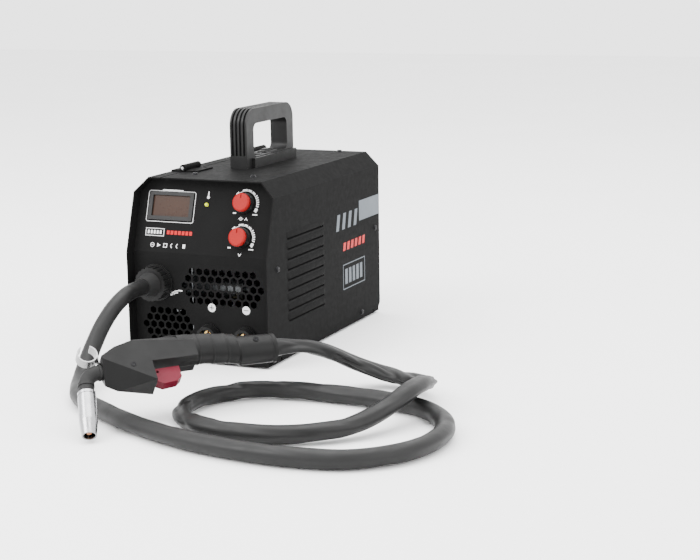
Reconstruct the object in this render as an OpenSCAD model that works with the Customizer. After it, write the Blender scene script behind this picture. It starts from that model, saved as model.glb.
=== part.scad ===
// MIG welding machine with its torch, in millimetres.
// The origin is on the floor under the middle of the casing.
// X points to the machine's right-hand side, the front faces -Y and Z is up.

/* [Casing] */
// Width across the sides
body_w = 200; // [170:1:260]
// Depth from the front edges to the rear
body_l = 360; // [320:1:460]
// Height of the top sheet above the floor
body_h = 232; // [210:1:300]
// Thickness of the steel sheet
sheet = 1.5; // [1:0.1:2.5]
// Height of the rubber feet
foot_h = 3; // [2:0.5:12]
// Size of the sloping top corners
corner = 19; // [10:1:30]
// Height at which the front starts to lean back
fold_z = 138; // [120:1:150]
// How far back the top front edge stands
lean = 30; // [10:1:50]
// How far the front panel sits inside the cover
recess = 16; // [8:1:30]
// Height of the lower edge of cover and door
cover_z = 9; // [6:0.5:16]

/* [Carrying handle] */
// Sideways place of the handle
handle_x = -5; // [-20:1:20]
// Front of the handle
handle_y = -45; // [-80:1:0]
// Length of the handle
handle_l = 140; // [110:1:180]
// Height of the handle above the top
handle_h = 78; // [60:1:100]
// Width of the handle
handle_w = 25; // [20:1:36]

/* [Side door] */
// Sideways place of the hinge axis
seam_x = -63; // [-75:1:-50]
// Length of each hinge
hinge_l = 42; // [30:1:60]
// Distance of the two hinges from the middle of the casing
hinge_y = [-72, 122];

/* [Front controls] */
// Radius of a control knob
knob_r = 12.5; // [8:0.5:18]
// Distance between the holes of the air vents
hex_pitch = 10.9; // [8:0.1:14]
// Radius over the corners of a vent hole
hex_r = 4.9; // [3:0.1:6]
// Bore radius of the two weld sockets
socket_r = 4.6; // [4:0.1:7]

/* [Wire feeder] */
// Sideways place of the wire
wire_x = -66; // [-70:1:-60]
// Height of the wire
wire_z = 98.5; // [90:0.5:110]
// Radius of the driven roll
drive_r = 15; // [12:1:18]
// Radius of the pressure roll
press_r = 11; // [9:1:13]
// Radius of the wire spool
spool_r = 50; // [40:1:55]

/* [Torch] */
// Length of the torch handle
torch_l = 205; // [160:1:240]
// Half of the thickness of the torch handle
torch_t = 15.5; // [12:0.5:20]
// Bend of the torch neck
neck_bend = 80; // [30:1:90]
// Outer radius of the torch lead
lead_r = 11; // [5:0.5:13]

/* [Hidden] */
$fn = 48;
fit = 0.3;
front_y = -body_l / 2;
back_y = body_l / 2;
half_w = body_w / 2;
pan_z = foot_h + sheet;
slope_a = atan(lean / (body_h - fold_z));
panel_y = front_y + recess;
panel_top = body_h - sheet - fit;
panel_top_y = panel_y + (panel_top - fold_z) * tan(slope_a);
rear_y = back_y - 1.6;
part_x = -17;
hinge_z = body_h + 4.7;
display = [-51, 60];
current = [54, 68];
voltage = [54, 24];
upper_vent = [29, 97];
lower_vent = [-51, 43];
positive = [10, 35];
negative = [62, 35];
gland_front = -200;
roll_y = -100;
nip = 0.65;
drive_z = wire_z - nip - drive_r;
press_z = wire_z + nip + press_r;
arm_pivot = [-128, 112];
tension_pivot = [-70, 70];
tension_rest = 22;
spool_at = [72, 110];
spool_x = [-91, -46];
winding_r = 42;
fan_at = [42, 76];
fan_half = 46;
switch_at = [62, 178];
mains_at = [-58, 42];
latch_at = [0, 30];
torch_at = [168, -302, 64];
torch_heading = 228;
torch_pitch = 0;
torch_roll = 42;
neck_r = 8.5;
trigger_pivot = [145, 18, 0];
neck_y = 6;
bend_r = 18;
neck_x = torch_l + 3;
torch_dir = [
    cos(torch_heading) * cos(torch_pitch),
    sin(torch_heading) * cos(torch_pitch),
    sin(torch_pitch)
];
lead_sides = 10;
lead_route = [
    [-66, -200, 98.5], [-66, -222, 98.5], [-67, -242, 95], [-70, -264, 84], [-73, -285, 67],
    [-74, -305, 47], [-72, -325, 29], [-66, -346, 16], [-54, -370, 11.8], [-36, -396, 11.3],
    [-10, -420, 11.3], [25, -443, 11.3], [65, -466, 11.3], [110, -486, 11.3], [155, -502, 11.3],
    [200, -513, 11.3], [248, -519, 11.3], [298, -518, 11.3], [352, -503, 11.3], [394, -461, 11.3],
    [409, -404, 11.3], [394, -347, 11.3], [352, -306, 11.3], [300, -290, 11.3], [245, -286, 11.3],
    [186, -290, 11.3], [143, -302, 11.3], [112, -333, 11.3], [100, -376, 11.3], [112, -419, 11.3],
    [143, -450, 11.3], [186, -462, 11.3], [235, -458, 11.3], [278, -440, 12.3], [312, -408, 15.5],
    [333, -368, 25], [344, -325, 34.5], [344, -282, 33], [331, -240, 22], [303, -210, 14.5],
    [266, -201, 17], [234, -220, 32], [208, -252, 52], [187, -280, 62.4], torch_at
];

// A flat shape drawn in X and Z, given depth from y0 to y1
module along_y(y0, y1)
    translate([0, y1, 0]) rotate([90, 0, 0]) linear_extrude(y1 - y0) children();

// A flat shape drawn in Y and Z, given width from x0 to x1
module along_x(x0, x1)
    translate([x0, 0, 0]) rotate([90, 0, 90]) linear_extrude(x1 - x0) children();

// A block between two opposite corners
module block(a, b) translate(a) cube(b - a);

// A rectangle with rounded corners, standing on the origin's corner
module rounded(w, h, r) {
    translate([r, 0]) square([w - 2 * r, h]);
    translate([0, r]) square([w, h - 2 * r]);
    for (x = [r, w - r], y = [r, h - r]) translate([x, y]) circle(r);
}

// Places a part on the lower front panel: X across, Y up, Z outwards
module on_front(at) translate([at[0], panel_y, at[1]]) rotate([90, 0, 0]) children();

// Places a part on the leaning control panel, measured up from the fold
module on_slope(at)
    translate([at[0], panel_y, fold_z]) rotate([90 - slope_a, 0, 0]) translate([0, at[1], 0]) children();

// Places a part on the rear panel: X across, Y up, Z inwards
module on_rear(at) translate([at[0], rear_y, at[1]]) rotate([90, 0, 0]) children();

// Places a part with its axis across the machine, at a place in Y and Z
module across(at, x) translate([x, at[0], at[1]]) rotate([0, 90, 0]) children();

// Places a part in the torch's own frame: X forwards, Y to the trigger's side
module on_torch()
    translate(torch_at) rotate([0, 0, torch_heading]) rotate([0, -torch_pitch, 0])
        rotate([-torch_roll, 0, 0]) children();

// Section of the casing across its width, drawn in by i on every side
module casing_section(i, z0) {
    k = i * (sqrt(2) - 1);
    polygon([
        [-half_w + i, z0], [half_w - i, z0], [half_w - i, body_h - corner - k],
        [half_w - corner - k, body_h - i], [-half_w + corner + k, body_h - i],
        [-half_w + i, body_h - corner - k]
    ]);
}

// Bent sheet around the casing, open at the bottom, with the leaning front
module casing_shell() {
    over = 2 * lean / (body_h - fold_z);
    intersection() {
        along_y(front_y, back_y) difference() {
            casing_section(0, cover_z);
            casing_section(sheet, cover_z - 1);
        }
        along_x(-half_w - 1, half_w + 1) polygon([
            [front_y, 0], [back_y + 1, 0], [back_y + 1, body_h + 2],
            [front_y + lean + over, body_h + 2], [front_y, fold_z]
        ]);
    }
}

// Sheet flange that follows the inside of the casing
module inner_rim(y0, y1)
    along_y(y0, y1) difference() {
        casing_section(sheet + fit, pan_z);
        casing_section(2 * sheet + fit, pan_z - 1);
    }

// Hexagonal holes in staggered rows, centred on the origin
module hex_rows(counts) {
    rows = len(counts);
    for (i = [0 : rows - 1], j = [0 : counts[i] - 1])
        translate([(j - (counts[i] - 1) / 2) * hex_pitch, ((rows - 1) / 2 - i) * hex_pitch * sin(60)])
            rotate(30) circle(r = hex_r, $fn = 6);
}

side_screws = [[-150, 123], [164, 126], [113, 14]];
top_screws = [[-35, -110], [49, -110], [-35, 170], [44, 170]];
handle_screws = [[handle_x, handle_y + 10], [handle_x, handle_y + handle_l - 10]];

module screw_bores(r) {
    for (at = side_screws) across(at, half_w - 8) cylinder(r = r, h = 12);
    for (at = top_screws) translate([at[0], at[1], body_h - 8]) cylinder(r = r, h = 12);
}

// Steel tray that carries everything
module base_pan() color("#2b2b2b") difference() {
    union() {
        block([-half_w + sheet + fit, front_y + 2, foot_h], [half_w - sheet - fit, rear_y, pan_z]);
        for (side = [-1, 1])
            translate([side * (half_w - 1.5 * sheet - fit), 10, foot_h + 8])
                cube([sheet, 296, 16], center = true);
        block([-half_w + sheet + fit, front_y + 2, foot_h], [half_w - sheet - fit, front_y + 2 + sheet, cover_z]);
    }
    screw_bores(2.1);
    for (x = [-75, 75], y = [-140, 140]) translate([x, y, 0]) cylinder(r = 2.6, h = 10);
}

// Feet with holes for screws that come up from below
module rubber_feet() color("#1a1a1a")
    for (x = [-75, 75], y = [-140, 140]) translate([x, y, 0]) difference() {
        cylinder(r1 = 10, r2 = 11, h = foot_h);
        translate([0, 0, -1]) cylinder(r = 2.6, h = 6);
    }

// Right side, top and sloping corner bent from one sheet
module outer_cover() color("#2d2d2d") {
    difference() {
        intersection() {
            casing_shell();
            block([seam_x + 1, front_y - 1, 0], [half_w + 1, back_y + 1, body_h + 1]);
        }
        for (i = [0 : 8]) translate([0, 0, 51 + 13.2 * i])
            block([half_w - 3, -120, -1.4], [half_w + 1, -12, 1.4]);
        screw_bores(2.1);
        for (at = handle_screws) translate([at[0], at[1], body_h - 4]) cylinder(r = 2.5, h = 6);
        translate([0, back_y, cover_z]) rotate([45, 0, 0]) cube([body_w + 4, 8, 8], center = true);
    }
    for (i = [0 : 8]) translate([0, 0, 51 + 13.2 * i]) along_y(-120, -12)
        polygon([
            [half_w - sheet, -2.6], [half_w - sheet, -1.4], [half_w - 5, 3.4], [half_w - 5, 2.2]
        ]);
}

// Pan-head screws of the cover and the hidden screws of the handle
module casing_screws() color("#8d9094") {
    for (at = side_screws) across(at, half_w - 7) screw_shape(7);
    for (at = top_screws) translate([at[0], at[1], body_h - 7]) screw_shape(7);
    for (at = handle_screws) translate([at[0], at[1], body_h - 6]) {
        cylinder(r = 5, h = 4.5);
        cylinder(r = 2.4, h = 16);
    }
}

module screw_shape(grip) difference() {
    union() {
        cylinder(r = 2, h = grip);
        translate([0, 0, grip]) cylinder(r1 = 3.9, r2 = 3, h = 2.2);
    }
    translate([0, 0, grip + 2]) cube([5, 1, 2], center = true);
    translate([0, 0, grip + 2]) cube([1, 5, 2], center = true);
}

// Bent front sheet, upright below the fold and leaning above it
module front_panel() color("#2e2e2e") difference() {
    union() {
        intersection() {
            along_x(-half_w, half_w) polygon([
                [panel_y, pan_z], [panel_y, fold_z], [panel_top_y, panel_top],
                [panel_top_y + sheet / cos(slope_a), panel_top],
                [panel_y + sheet, fold_z - sheet * tan(slope_a / 2)], [panel_y + sheet, pan_z]
            ]);
            along_y(front_y, 0) casing_section(sheet + fit, pan_z);
        }
        intersection() {
            inner_rim(panel_y, panel_top_y + 35);
            along_x(-half_w, half_w) polygon([
                [panel_y, pan_z], [panel_y, fold_z], [panel_top_y, panel_top],
                [panel_top_y + 35, panel_top], [panel_top_y + 35, panel_top - 6],
                [panel_y + 22, fold_z], [panel_y + 22, pan_z]
            ]);
        }
    }
    on_front(upper_vent) translate([0, 0, -4]) linear_extrude(6) hex_rows([9, 10, 11, 10, 9]);
    on_front(lower_vent) translate([0, 0, -4]) linear_extrude(6) hex_rows([5, 6, 7, 6, 5]);
    on_front([wire_x, wire_z]) translate([0, 0, -4]) cylinder(r = 14.1, h = 6);
    for (at = [positive, negative]) on_front(at) translate([0, 0, -4]) cylinder(r = 12.1, h = 6);
    on_slope(display) translate([0, 0, -1]) cube([58, 31, 8], center = true);
    on_slope([0, 64]) translate([0, 0, -4]) cylinder(r = 2.6, h = 6);
    for (at = [current, voltage]) on_slope(at) translate([0, 0, -4]) cylinder(r = 3.6, h = 6);
    screw_bores(2.1);
}

module rear_panel() color("#2b2b2b") difference() {
    union() {
        along_y(rear_y - sheet, rear_y) casing_section(sheet + fit, pan_z);
        inner_rim(rear_y - 18, rear_y);
    }
    on_rear(fan_at) translate([0, 0, -2]) cylinder(r = 41, h = 6);
    for (x = [-36, 36], z = [-36, 36])
        on_rear(fan_at + [x, z]) translate([0, 0, -2]) cylinder(r = 2.1, h = 6);
    on_rear(switch_at) cube([27.2, 21.2, 8], center = true);
    on_rear(mains_at) translate([0, 0, -2]) cylinder(r = 8.1, h = 6);
    screw_bores(2.1);
}

// Wall between the wire compartment and the electronics
module partition() color("#3a3a3a") difference() {
    union() {
        along_x(part_x, part_x + sheet) polygon([
            [panel_y + 4, pan_z], [panel_y + 4, fold_z - 4], [panel_top_y + 3, 222],
            [rear_y - 4, 222], [rear_y - 4, pan_z]
        ]);
        block([part_x, panel_y + 20, pan_z], [part_x + 5, rear_y - 60, pan_z + sheet]);
    }
    across([roll_y, drive_z], part_x - 1) cylinder(r = 18, h = 4);
}

// Moulded D-shaped handle with ribs round its outer face
module carry_handle() color("#303030") difference() {
    union() {
        along_x(handle_x - handle_w / 2, handle_x + handle_w / 2) handle_side(0);
        block([handle_x - 17, handle_y + 14, body_h], [handle_x + 17, handle_y + handle_l, body_h + 13]);
    }
    along_x(handle_x - 30, handle_x + 30)
        translate([handle_y + 20, body_h + 14]) rounded(handle_l - 40, handle_h - 34, 9);
    for (i = [0 : 3]) {
        x = handle_x + 5.6 * (i - 1.5);
        along_x(x - 1.5, x + 1.5) difference() {
            translate([handle_y - 5, body_h + 17]) square([handle_l + 10, handle_h]);
            handle_side(3);
        }
    }
    for (at = handle_screws) translate([at[0], at[1], body_h - 1]) cylinder(r = 2.5, h = 12);
}

// Side view of the handle, drawn in by i
module handle_side(i) {
    w = handle_l - 2 * i;
    translate([handle_y + i, body_h]) {
        translate([0, 20]) rounded(w, handle_h - 20 - i, 22 - i);
        square([w, 50]);
    }
}

// One knuckle of a hinge with the leaf that carries it, leaf towards +X
module knuckle(y0, y1, leaf_w) {
    rotate([90, 0, 0]) translate([0, 0, -y1]) cylinder(r = 4.5, h = y1 - y0);
    block([0, y0, -4.7], [leaf_w, y1, -2.7]);
    block([0, y0, -4.5], [4.4, y1, 0]);
}

// Leaves screwed to the top of the cover
module hinge_leaves() color("#232323") for (y = hinge_y) translate([seam_x, y, hinge_z]) difference() {
    union() {
        knuckle(-7.7, 7.7, 22);
        block([5, -hinge_l / 2, -4.7], [22, hinge_l / 2, -2.7]);
    }
    rotate([90, 0, 0]) cylinder(r = 2.05, h = hinge_l + 4, center = true);
    for (s = [-14, 14]) translate([14, s, -3.5]) cylinder(r = 2.6, h = 2);
}

// Leaves screwed to the top strip of the door
module door_hinge_leaves() color("#232323") for (y = hinge_y) translate([seam_x, y, hinge_z]) difference() {
    mirror([1, 0, 0]) {
        knuckle(-hinge_l / 2, -8, 17);
        knuckle(8, hinge_l / 2, 17);
        block([5, -hinge_l / 2, -4.7], [17, hinge_l / 2, -2.7]);
    }
    rotate([90, 0, 0]) cylinder(r = 2.05, h = hinge_l + 4, center = true);
    for (s = [-14, 14]) translate([-11, s, -3.5]) cylinder(r = 2.6, h = 2);
}

module hinge_pins() color("#c9ccd0")
    for (y = hinge_y) translate([seam_x, y, hinge_z])
        rotate([90, 0, 0]) cylinder(r = 2, h = hinge_l + 2, center = true);

// Left side, sloping corner and a strip of the top, opening upwards
module side_door() color("#2d2d2d") difference() {
    intersection() {
        casing_shell();
        block([-half_w - 1, front_y - 1, 0], [seam_x - 1, back_y + 1, body_h + 1]);
    }
    across(latch_at, -half_w - 1) cylinder(r = 6.05, h = 4);
}

// Quarter-turn latch with its cam inside the door
module door_latch() color("#1f1f1f") {
    across(latch_at, -half_w - 6) difference() {
        cylinder(r = 11, h = 5.7);
        translate([0, 0, -1]) for (s = [-1, 1]) translate([s * 7.5, 0, 1]) cube([8, 26, 5], center = true);
    }
    across(latch_at, -half_w - 0.4) cylinder(r = 6, h = 6.9);
    block(
        [-half_w + 4.5, latch_at[0] - 6, latch_at[1] - 6],
        [-half_w + 6.5, latch_at[0] + 24, latch_at[1] + 6]
    );
}

module display_bezel() color("#3b3b3b") on_slope(display) difference() {
    union() {
        translate([0, 0, 1]) cube([64, 37, 2], center = true);
        translate([0, 0, -6]) cube([57.6, 30.6, 12], center = true);
    }
    cube([54, 27, 4], center = true);
    translate([0, 0, -8]) cube([51, 24, 13], center = true);
}

module display_window() color("#54402f") on_slope(display)
    translate([0, 0, -1.2]) cube([53.8, 26.8, 1.5], center = true);

module display_board() color("#2c5a34") on_slope(display) {
    translate([0, 0, -12.8]) cube([60, 34, 1.6], center = true);
    translate([0, 0, -8]) cube([50, 20, 8], center = true);
}

module power_led() color("#c8d43a") on_slope([0, 64]) {
    translate([0, 0, -7]) cylinder(r = 2.5, h = 8);
    translate([0, 0, 1]) sphere(r = 2.5);
    translate([0, 0, -9]) cylinder(r = 2.9, h = 2);
}

module control_pots() color("#6b7076") for (at = [current, voltage]) on_slope(at) difference() {
    union() {
        translate([0, 0, -11]) cylinder(r = 9, h = 11 - sheet);
        translate([0, 0, -3]) cylinder(r = 3.5, h = 8);
        cylinder(r = 6, h = 2, $fn = 6);
        translate([0, -10, -4]) cube([12, 12, 1.6], center = true);
    }
    translate([0, 0, -12]) cylinder(r = 3.05, h = 20);
}

module knob_at(at) on_slope(at) difference() {
    union() {
        translate([0, 0, 2.6]) cylinder(r1 = knob_r + 1, r2 = knob_r, h = 6.4);
        translate([0, 0, -10]) cylinder(r = 3, h = 18);
    }
    translate([0, 0, 2]) difference() {
        cylinder(r = 7, h = 4);
        translate([0, 0, -1]) cylinder(r = 3, h = 6);
    }
}

module cap_at(at) on_slope(at) difference() {
    union() {
        translate([0, 0, 9]) cylinder(r = knob_r - 0.8, h = 3.6);
        translate([0, 0, 12.6]) cylinder(r1 = knob_r - 0.8, r2 = knob_r - 2.6, h = 1.6);
    }
    translate([0, knob_r - 4, 14]) cube([1.4, 7, 2], center = true);
}

module current_knob() color("#262626") knob_at(current);
module current_cap() color("#e8403f") cap_at(current);
module voltage_knob() color("#262626") knob_at(voltage);
module voltage_cap() color("#e8403f") cap_at(voltage);

// Insulating body of a weld socket, clamped to the panel by its nut
module socket_at(at) on_front(at) difference() {
    union() {
        cylinder(r = 15, h = 4);
        translate([0, 0, 4]) cylinder(r1 = 14, r2 = 13.2, h = 10);
        translate([0, 0, -14]) cylinder(r = 12, h = 14);
        translate([0, 0, -7.5]) cylinder(r = 17, h = 6, $fn = 6);
    }
    translate([0, 0, -15]) cylinder(r = 7.05, h = 30);
    translate([0, 0, 6]) cylinder(r = 9.5, h = 9);
}

// Brass contact with the bore for the plug and its keyway
module contact_at(at) on_front(at) difference() {
    union() {
        translate([0, 0, -24]) cylinder(r = 7, h = 30);
        translate([0, 0, -36]) cylinder(r = 5, h = 12);
        translate([0, 0, -30]) cylinder(r = 8.5, h = 5, $fn = 6);
    }
    translate([0, 0, -16]) cylinder(r = socket_r, h = 23);
    translate([0, 5, 2]) cube([3, 4, 9], center = true);
}

module positive_socket() color("#1d1d1d") socket_at(positive);
module positive_contact() color("#b98a3c") contact_at(positive);
module negative_socket() color("#1d1d1d") socket_at(negative);
module negative_contact() color("#b98a3c") contact_at(negative);

// Barrel through the panel with the soft boot that the torch lead leaves from
module torch_gland() color("#1c1c1c") on_front([wire_x, wire_z]) difference() {
    union() {
        translate([0, 0, -12]) cylinder(r = 14, h = 30);
        translate([0, 0, -6]) cylinder(r = 19, h = 6 - sheet, $fn = 6);
        translate([0, 0, 18]) cylinder(r1 = 16, r2 = 11.5, h = panel_y - gland_front - 18);
    }
    translate([0, 0, -13]) cylinder(r = 9, h = 28);
}

// Large ribbed ring nut round the barrel
module gland_nut() color("#202020") on_front([wire_x, wire_z]) difference() {
    union() {
        cylinder(r = 22, h = 18);
        cylinder(r = 24, h = 3);
    }
    translate([0, 0, -1]) cylinder(r = 14.05, h = 20);
    for (i = [0 : 19]) rotate(18 * i) translate([22.6, 0, 4.5]) cylinder(r = 1.6, h = 15);
}

function unit(v) = v / norm(v);
lead_last = len(lead_route) - 1;
function lead_dir(i) =
    i == 0 ? unit(lead_route[1] - lead_route[0]) :
    i == lead_last ? torch_dir : unit(lead_route[i + 1] - lead_route[i - 1]);
function lead_ring(i) =
    let (t = lead_dir(i), side = unit(cross(t, [0, 0, 1])), up = cross(side, t))
    [for (k = [0 : lead_sides - 1])
        lead_route[i] + lead_r * (cos(360 * k / lead_sides) * side + sin(360 * k / lead_sides) * up)];
function lead_quad(i, k) =
    let (a = i * lead_sides + k, b = i * lead_sides + (k + 1) % lead_sides)
    [[a, b, b + lead_sides], [a, b + lead_sides, a + lead_sides]];

// Torch lead lying on the floor in two loops
module torch_lead() color("#333333") polyhedron(
    points = [for (i = [0 : lead_last]) each lead_ring(i)],
    faces = concat(
        [[for (k = [lead_sides - 1 : -1 : 0]) k]],
        [for (i = [0 : lead_last - 1], k = [0 : lead_sides - 1]) each lead_quad(i, k)],
        [[for (k = [0 : lead_sides - 1]) lead_last * lead_sides + k]]
    )
);

// Plate that carries rolls and guides, on four posts from the partition
module feeder_plate() color("#4a4d50") {
    difference() {
        along_x(-52, -46) {
            translate([-140, 56]) square([84, 48]);
            translate([-140, 56]) square([24, 64]);
        }
        across([roll_y, drive_z], -53) cylinder(r = 4.06, h = 8);
    }
    for (y = [-132, -66], z = [64, 96]) across([y, z], -46) cylinder(r = 4.5, h = 29);
    across(arm_pivot, -61) cylinder(r = 3, h = 9);
    across(tension_pivot, -65) cylinder(r = 3, h = 13);
    difference() {
        union() {
            block([-71, -86, 92], [-52, -77, 103.5]);
            block([-71, -140, 92], [-52, -114, 103.5]);
        }
        translate([wire_x, -70, wire_z]) rotate([90, 0, 0]) cylinder(r = 3.05, h = 80);
    }
}

// Gearbox and motor, reaching through the partition
module feed_motor() color("#7b7f84") difference() {
    union() {
        across([roll_y, drive_z], -46) cylinder(r = 21, h = 22);
        across([roll_y, drive_z], -24) cylinder(r = 17, h = 56);
        across([roll_y, drive_z], 32) cylinder(r = 6, h = 5);
    }
    across([roll_y, drive_z], -47) cylinder(r = 4.06, h = 13);
}

// Driven roll on its shaft with the screw cap
module drive_roll() color("#a9adb2") {
    difference() {
        across([roll_y, drive_z], wire_x - 5) cylinder(r = drive_r, h = 10);
        for (s = [-5, 5]) across([roll_y, drive_z], wire_x + s - 1) difference() {
            cylinder(r = drive_r - 3, h = 2);
            translate([0, 0, -1]) cylinder(r = 8, h = 4);
        }
    }
    across([roll_y, drive_z], -78) cylinder(r = 4, h = 43);
    across([roll_y, drive_z], -78) cylinder(r = 8.5, h = 7, $fn = 6);
}

// Arm that presses the upper roll onto the wire
module pressure_arm() color("#2f2f2f") {
    difference() {
        union() {
            across(arm_pivot, -59.5) cylinder(r = 8, h = 6.5);
            block([-59.5, arm_pivot[0], 106], [-53, -76, 118]);
            block([-66, -80, 108], [-53, -64, 116]);
        }
        across(arm_pivot, -60) cylinder(r = 3.05, h = 8);
        block([-62.6, -73.5, 105], [-56.4, -60, 120]);
    }
    across([roll_y, press_z], -74) cylinder(r = 3, h = 15);
    across([roll_y, press_z], -74) cylinder(r = 5, h = 2.5);
}

module pressure_roll() color("#b4b8bc") difference() {
    across([roll_y, press_z], wire_x - 5) cylinder(r = press_r, h = 10);
    across([roll_y, press_z], wire_x - 6) cylinder(r = 3.05, h = 12);
}

// Screw with its knob that clamps the pressure arm, shown swung clear of it
module tension_arm() color("#b02a2a")
    translate([0, tension_pivot[0], tension_pivot[1]]) rotate([-tension_rest, 0, 0]) {
        difference() {
            translate([-62.5, 0, 0]) rotate([0, 90, 0]) cylinder(r = 6.5, h = 6);
            translate([-64, 0, 0]) rotate([0, 90, 0]) cylinder(r = 3.05, h = 9);
        }
        translate([-59.5, 0, 5]) cylinder(r = 2.5, h = 50);
        translate([-59.5, 0, 47]) cylinder(r = 5, h = 6);
        translate([-59.5, 0, 53]) difference() {
            cylinder(r = 9, h = 20);
            for (i = [0 : 11]) rotate(30 * i) translate([9.6, 0, 10]) cylinder(r = 1.4, h = 22, center = true);
        }
    }

// Brass tubes that lead the wire in and out of the rolls
module wire_guides() color("#b98a3c") difference() {
    union() {
        translate([wire_x, -52, wire_z]) rotate([90, 0, 0]) cylinder(r = 3, h = 36);
        translate([wire_x, -111, wire_z]) rotate([90, 0, 0]) cylinder(r = 3, h = 60);
    }
    translate([wire_x, -50, wire_z]) rotate([90, 0, 0]) cylinder(r = 0.8, h = 130);
}

// Wire from the winding through the guides and rolls
module filler_wire() color("#b87333") {
    reach = [spool_at[0] + 50, spool_at[1] - wire_z];
    far = norm(reach);
    dip = atan(reach[1] / reach[0]) - asin((winding_r + 0.7) / far);
    run = sqrt(far * far - pow(winding_r + 0.7, 2));
    translate([wire_x, -50, wire_z]) rotate([90, 0, 0]) cylinder(r = 0.45, h = 128);
    translate([wire_x, -50.2, wire_z]) rotate([dip - 90, 0, 0]) cylinder(r = 0.4, h = run);
}

// Axle of the spool, on the partition
module spool_hub() color("#3c3f42") {
    across(spool_at, part_x - 4) cylinder(r = 22, h = 4);
    across(spool_at, spool_x[1] + fit) cylinder(r = 12, h = part_x - 4 - spool_x[1] - fit);
    across(spool_at, spool_x[0] - fit) cylinder(r = 8.15, h = spool_x[1] - spool_x[0] + 2 * fit);
    across(spool_at, spool_x[0] - 4) cylinder(r = 6, h = 5);
}

module wire_spool() color("#20242a") difference() {
    union() {
        for (x = [spool_x[0], spool_x[1] - 3]) across(spool_at, x) difference() {
            cylinder(r = spool_r, h = 3);
            for (i = [0 : 5]) rotate(60 * i) translate([36, 0, -1]) cylinder(r = 6, h = 5);
        }
        across(spool_at, spool_x[0]) cylinder(r = 25, h = spool_x[1] - spool_x[0]);
    }
    across(spool_at, spool_x[0] - 1) cylinder(r = 8.2, h = 60);
    for (i = [0 : 2]) across(spool_at, spool_x[0] - 1) rotate(120 * i) translate([17, 0, 0])
        cylinder(r = 4, h = 60);
}

module wire_winding() color("#b87333") difference() {
    across(spool_at, spool_x[0] + 3) cylinder(r = winding_r, h = spool_x[1] - spool_x[0] - 6);
    across(spool_at, spool_x[0] + 2) cylinder(r = 25, h = 60);
}

module spool_nut() color("#26292d") across(spool_at, spool_x[0] - 5.5) difference() {
    union() {
        cylinder(r = 11, h = 5.2);
        for (i = [0 : 5]) rotate(60 * i) translate([11, 0, 0]) cylinder(r = 3, h = 5.2);
    }
    translate([0, 0, 1.5]) cylinder(r = 6.05, h = 5);
}

// Power board on four posts
module main_board() color("#2c5a34") {
    block([-12, -70, 150], [92, 130, 151.6]);
    for (x = [-8, 88], y = [-64, 124]) translate([x, y, pan_z]) cylinder(r = 3.5, h = 150 - pan_z);
    for (y = [10, 40, 70]) block([60, y, 151.6], [84, y + 18, 170]);
}

// Finned aluminium blocks under the power board
module heat_sinks() color("#b9bdc1") for (x = [0, 44]) {
    block([x, -20, 145], [x + 38, 105, 150]);
    for (i = [0 : 6]) block([x + 6 * i, -20, 104], [x + 6 * i + 2, 105, 145]);
}

module capacitors() color("#27344d") for (x = [8, 40], y = [-44, -6]) translate([x, y, 151.6]) difference() {
    cylinder(r = 14, h = 40);
    translate([0, 0, 40]) cube([16, 1, 1], center = true);
    translate([0, 0, 40]) cube([1, 16, 1], center = true);
}

// Main transformer with its ferrite core and taped windings
module transformer() color("#8a6b3a") {
    difference() {
        block([6, 30, pan_z], [66, 96, 76]);
        block([16, 29, 16], [30, 97, 65]);
        block([42, 29, 16], [56, 97, 65]);
    }
    difference() {
        block([16.5, 20, 17], [55.5, 106, 64]);
        block([30, 19, 16], [42, 107, 65]);
    }
}

// Ring choke lying on the base
module output_choke() color("#a4663a") translate([44, -34, pan_z + 18]) {
    rotate_extrude() translate([24, 0]) rounded_centre(20, 30, 5);
    translate([0, 0, -18]) cylinder(r = 12, h = 4);
    for (i = [0 : 11]) rotate(30 * i) rotate_extrude(angle = 15) translate([24, 0]) rounded_centre(26, 36, 7);
}

module rounded_centre(w, h, r) translate([-w / 2, -h / 2]) rounded(w, h, r);

// Fan frame with the spider that holds the motor
module fan_frame() color("#1e1e1e") on_rear(fan_at) translate([0, 0, sheet]) difference() {
    union() {
        difference() {
            translate([0, 0, 12.5]) cube([2 * fan_half, 2 * fan_half, 25], center = true);
            translate([0, 0, -1]) cylinder(r = 42, h = 27);
        }
        translate([0, 0, 22]) cylinder(r = 18, h = 3);
        for (a = [45 : 90 : 315]) rotate(a) translate([30, 0, 23.5]) cube([32, 4, 3], center = true);
        translate([0, 0, 6]) cylinder(r = 2, h = 17);
    }
    for (x = [-36, 36], y = [-36, 36]) translate([x, y, -1]) cylinder(r = 2.1, h = 27);
}

// Seven-bladed rotor
module fan_rotor() color("#2a2a2a") on_rear(fan_at) translate([0, 0, sheet]) difference() {
    union() {
        translate([0, 0, 4]) cylinder(r = 17, h = 17.5);
        intersection() {
            for (i = [0 : 6]) rotate(360 / 7 * i) translate([28, 0, 13])
                rotate([38, 0, 0]) cube([26, 1.6, 20], center = true);
            translate([0, 0, 5]) cylinder(r = 40.5, h = 16);
        }
    }
    translate([0, 0, 3]) cylinder(r = 2.05, h = 20);
}

// Wire finger guard outside the rear panel
module fan_guard() color("#9a9da1") on_rear(fan_at) translate([0, 0, -1.3]) {
    for (r = [12 : 9 : 39]) rotate_extrude() translate([r, 0]) circle(1.3);
    for (a = [45, 135]) rotate(a) translate([0, 0, -1.6]) rotate([0, 90, 0])
        cylinder(r = 1.3, h = 96, center = true);
    for (x = [-36, 36], y = [-36, 36]) translate([x, y, -2.6]) difference() {
        cylinder(r = 5, h = 3.9);
        translate([0, 0, -1]) cylinder(r = 2.1, h = 6);
    }
}

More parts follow.
